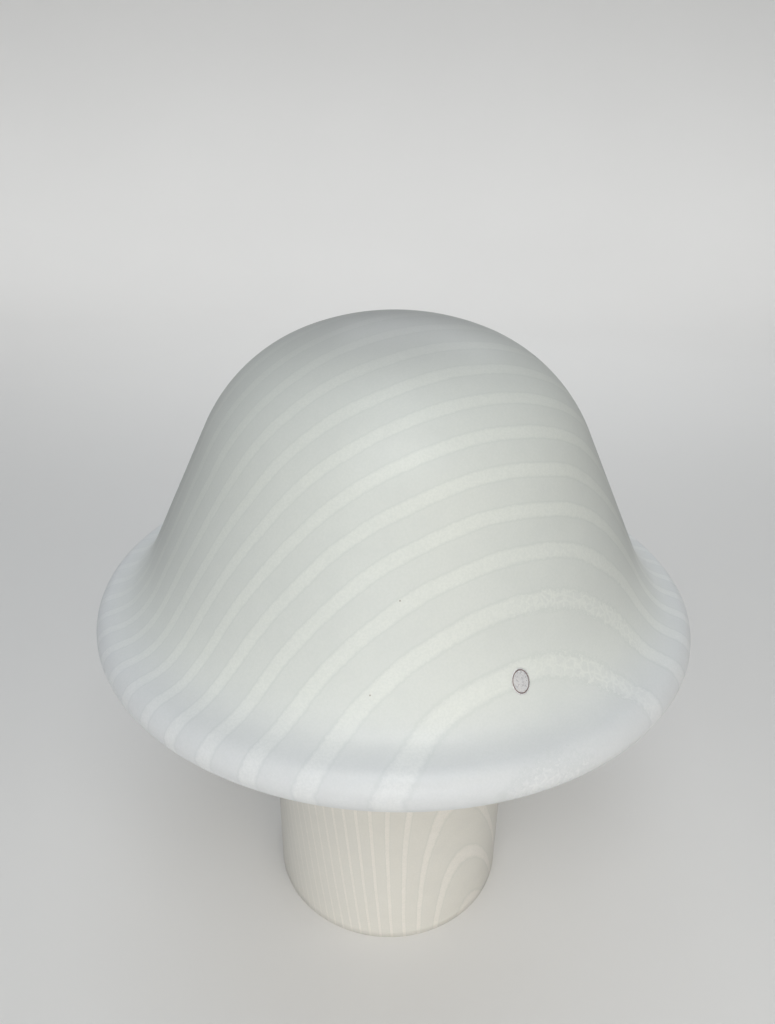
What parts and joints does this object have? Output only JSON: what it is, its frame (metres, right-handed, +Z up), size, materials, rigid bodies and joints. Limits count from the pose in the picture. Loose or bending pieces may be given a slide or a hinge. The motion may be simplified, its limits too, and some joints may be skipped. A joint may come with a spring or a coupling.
{
  "type": "mushroom table lamp",
  "caption": "Mushroom-shaped table lamp: one frosted, striped glass body with dome, rolled brim and stem, lifted off a metal lamp fitting with a screw-in bulb.",
  "frame": {"origin": "on the table, on the lamp's axis", "axes": "+Z up along the lamp's axis, +Y to the back, where the cord inlet is"},
  "size_m": [0.4, 0.4, 0.446],
  "materials": {
    "opal_glass": "acid-frosted satin opal glass with whiter drawn stripes",
    "white_lacquer": "stoved white lacquer on pressed steel",
    "black_rubber": "moulded rubber, dull",
    "spring_steel": "hardened spring strip",
    "rivet_aluminium": "plain",
    "bush_plastic": "moulded",
    "zinc_steel": "zinc-plated threaded tube",
    "nut_steel": "zinc-plated",
    "bakelite": "moulded phenolic, glossy",
    "porcelain": "glazed porcelain",
    "brass": "plain rolled brass",
    "bulb_glass": "inside-frosted bulb glass",
    "cap_aluminium": "drawn",
    "black_glass": "black glass",
    "solder": "tin solder, dull",
    "clear_glass": "clear lead glass",
    "lead_wire": "nickel wire",
    "tungsten": "coiled tungsten wire"
  },
  "bodies": {
    "light_fitting": {"base_plate": "white_lacquer", "rubber_feet": "black_rubber", "spring_arms": "spring_steel", "spring_rivets": "rivet_aluminium", "cord_bush": "bush_plastic", "stem_tube": "zinc_steel", "tube_nuts": "nut_steel", "lock_washers": "spring_steel", "tube_end_bush": "bush_plastic", "lampholder_cap": "bakelite", "cap_lock_screw": "nut_steel", "lampholder_skirt": "bakelite", "lampholder_insert": "porcelain", "threaded_shell": "brass", "centre_contact": "brass", "contact_rivets": "brass", "terminal_strips": "brass", "terminal_clamps": "nut_steel", "terminal_screws": "nut_steel"},
    "glass": {"glass_body": "opal_glass"},
    "bulb_seat": {"bulb_contact": "solder"},
    "bulb": {"bulb_glass": "bulb_glass", "bulb_cap": "cap_aluminium", "bulb_insulator": "black_glass", "bulb_mount": "clear_glass", "bulb_leads": "lead_wire", "filament": "tungsten"}
  },
  "joints": [
    {"name": "glass_lift", "type": "slide", "parent": "light_fitting", "child": "glass", "axis": [0, 0, 1], "range_m": [0, 0.36]},
    {"name": "bulb_rise", "type": "slide", "parent": "light_fitting", "child": "bulb_seat", "axis": [0, 0, 1], "range_m": [0, 0.01814]},
    {"name": "bulb_turn", "type": "hinge", "parent": "bulb_seat", "child": "bulb", "pos_m": [0, 0, 0.24], "axis": [0, 0, 1], "range_deg": [0, 1800]}
  ],
  "couplings": [
    {"joint": "bulb_turn", "follows": "bulb_rise", "rad_per_m": 1731.4}
  ]
}
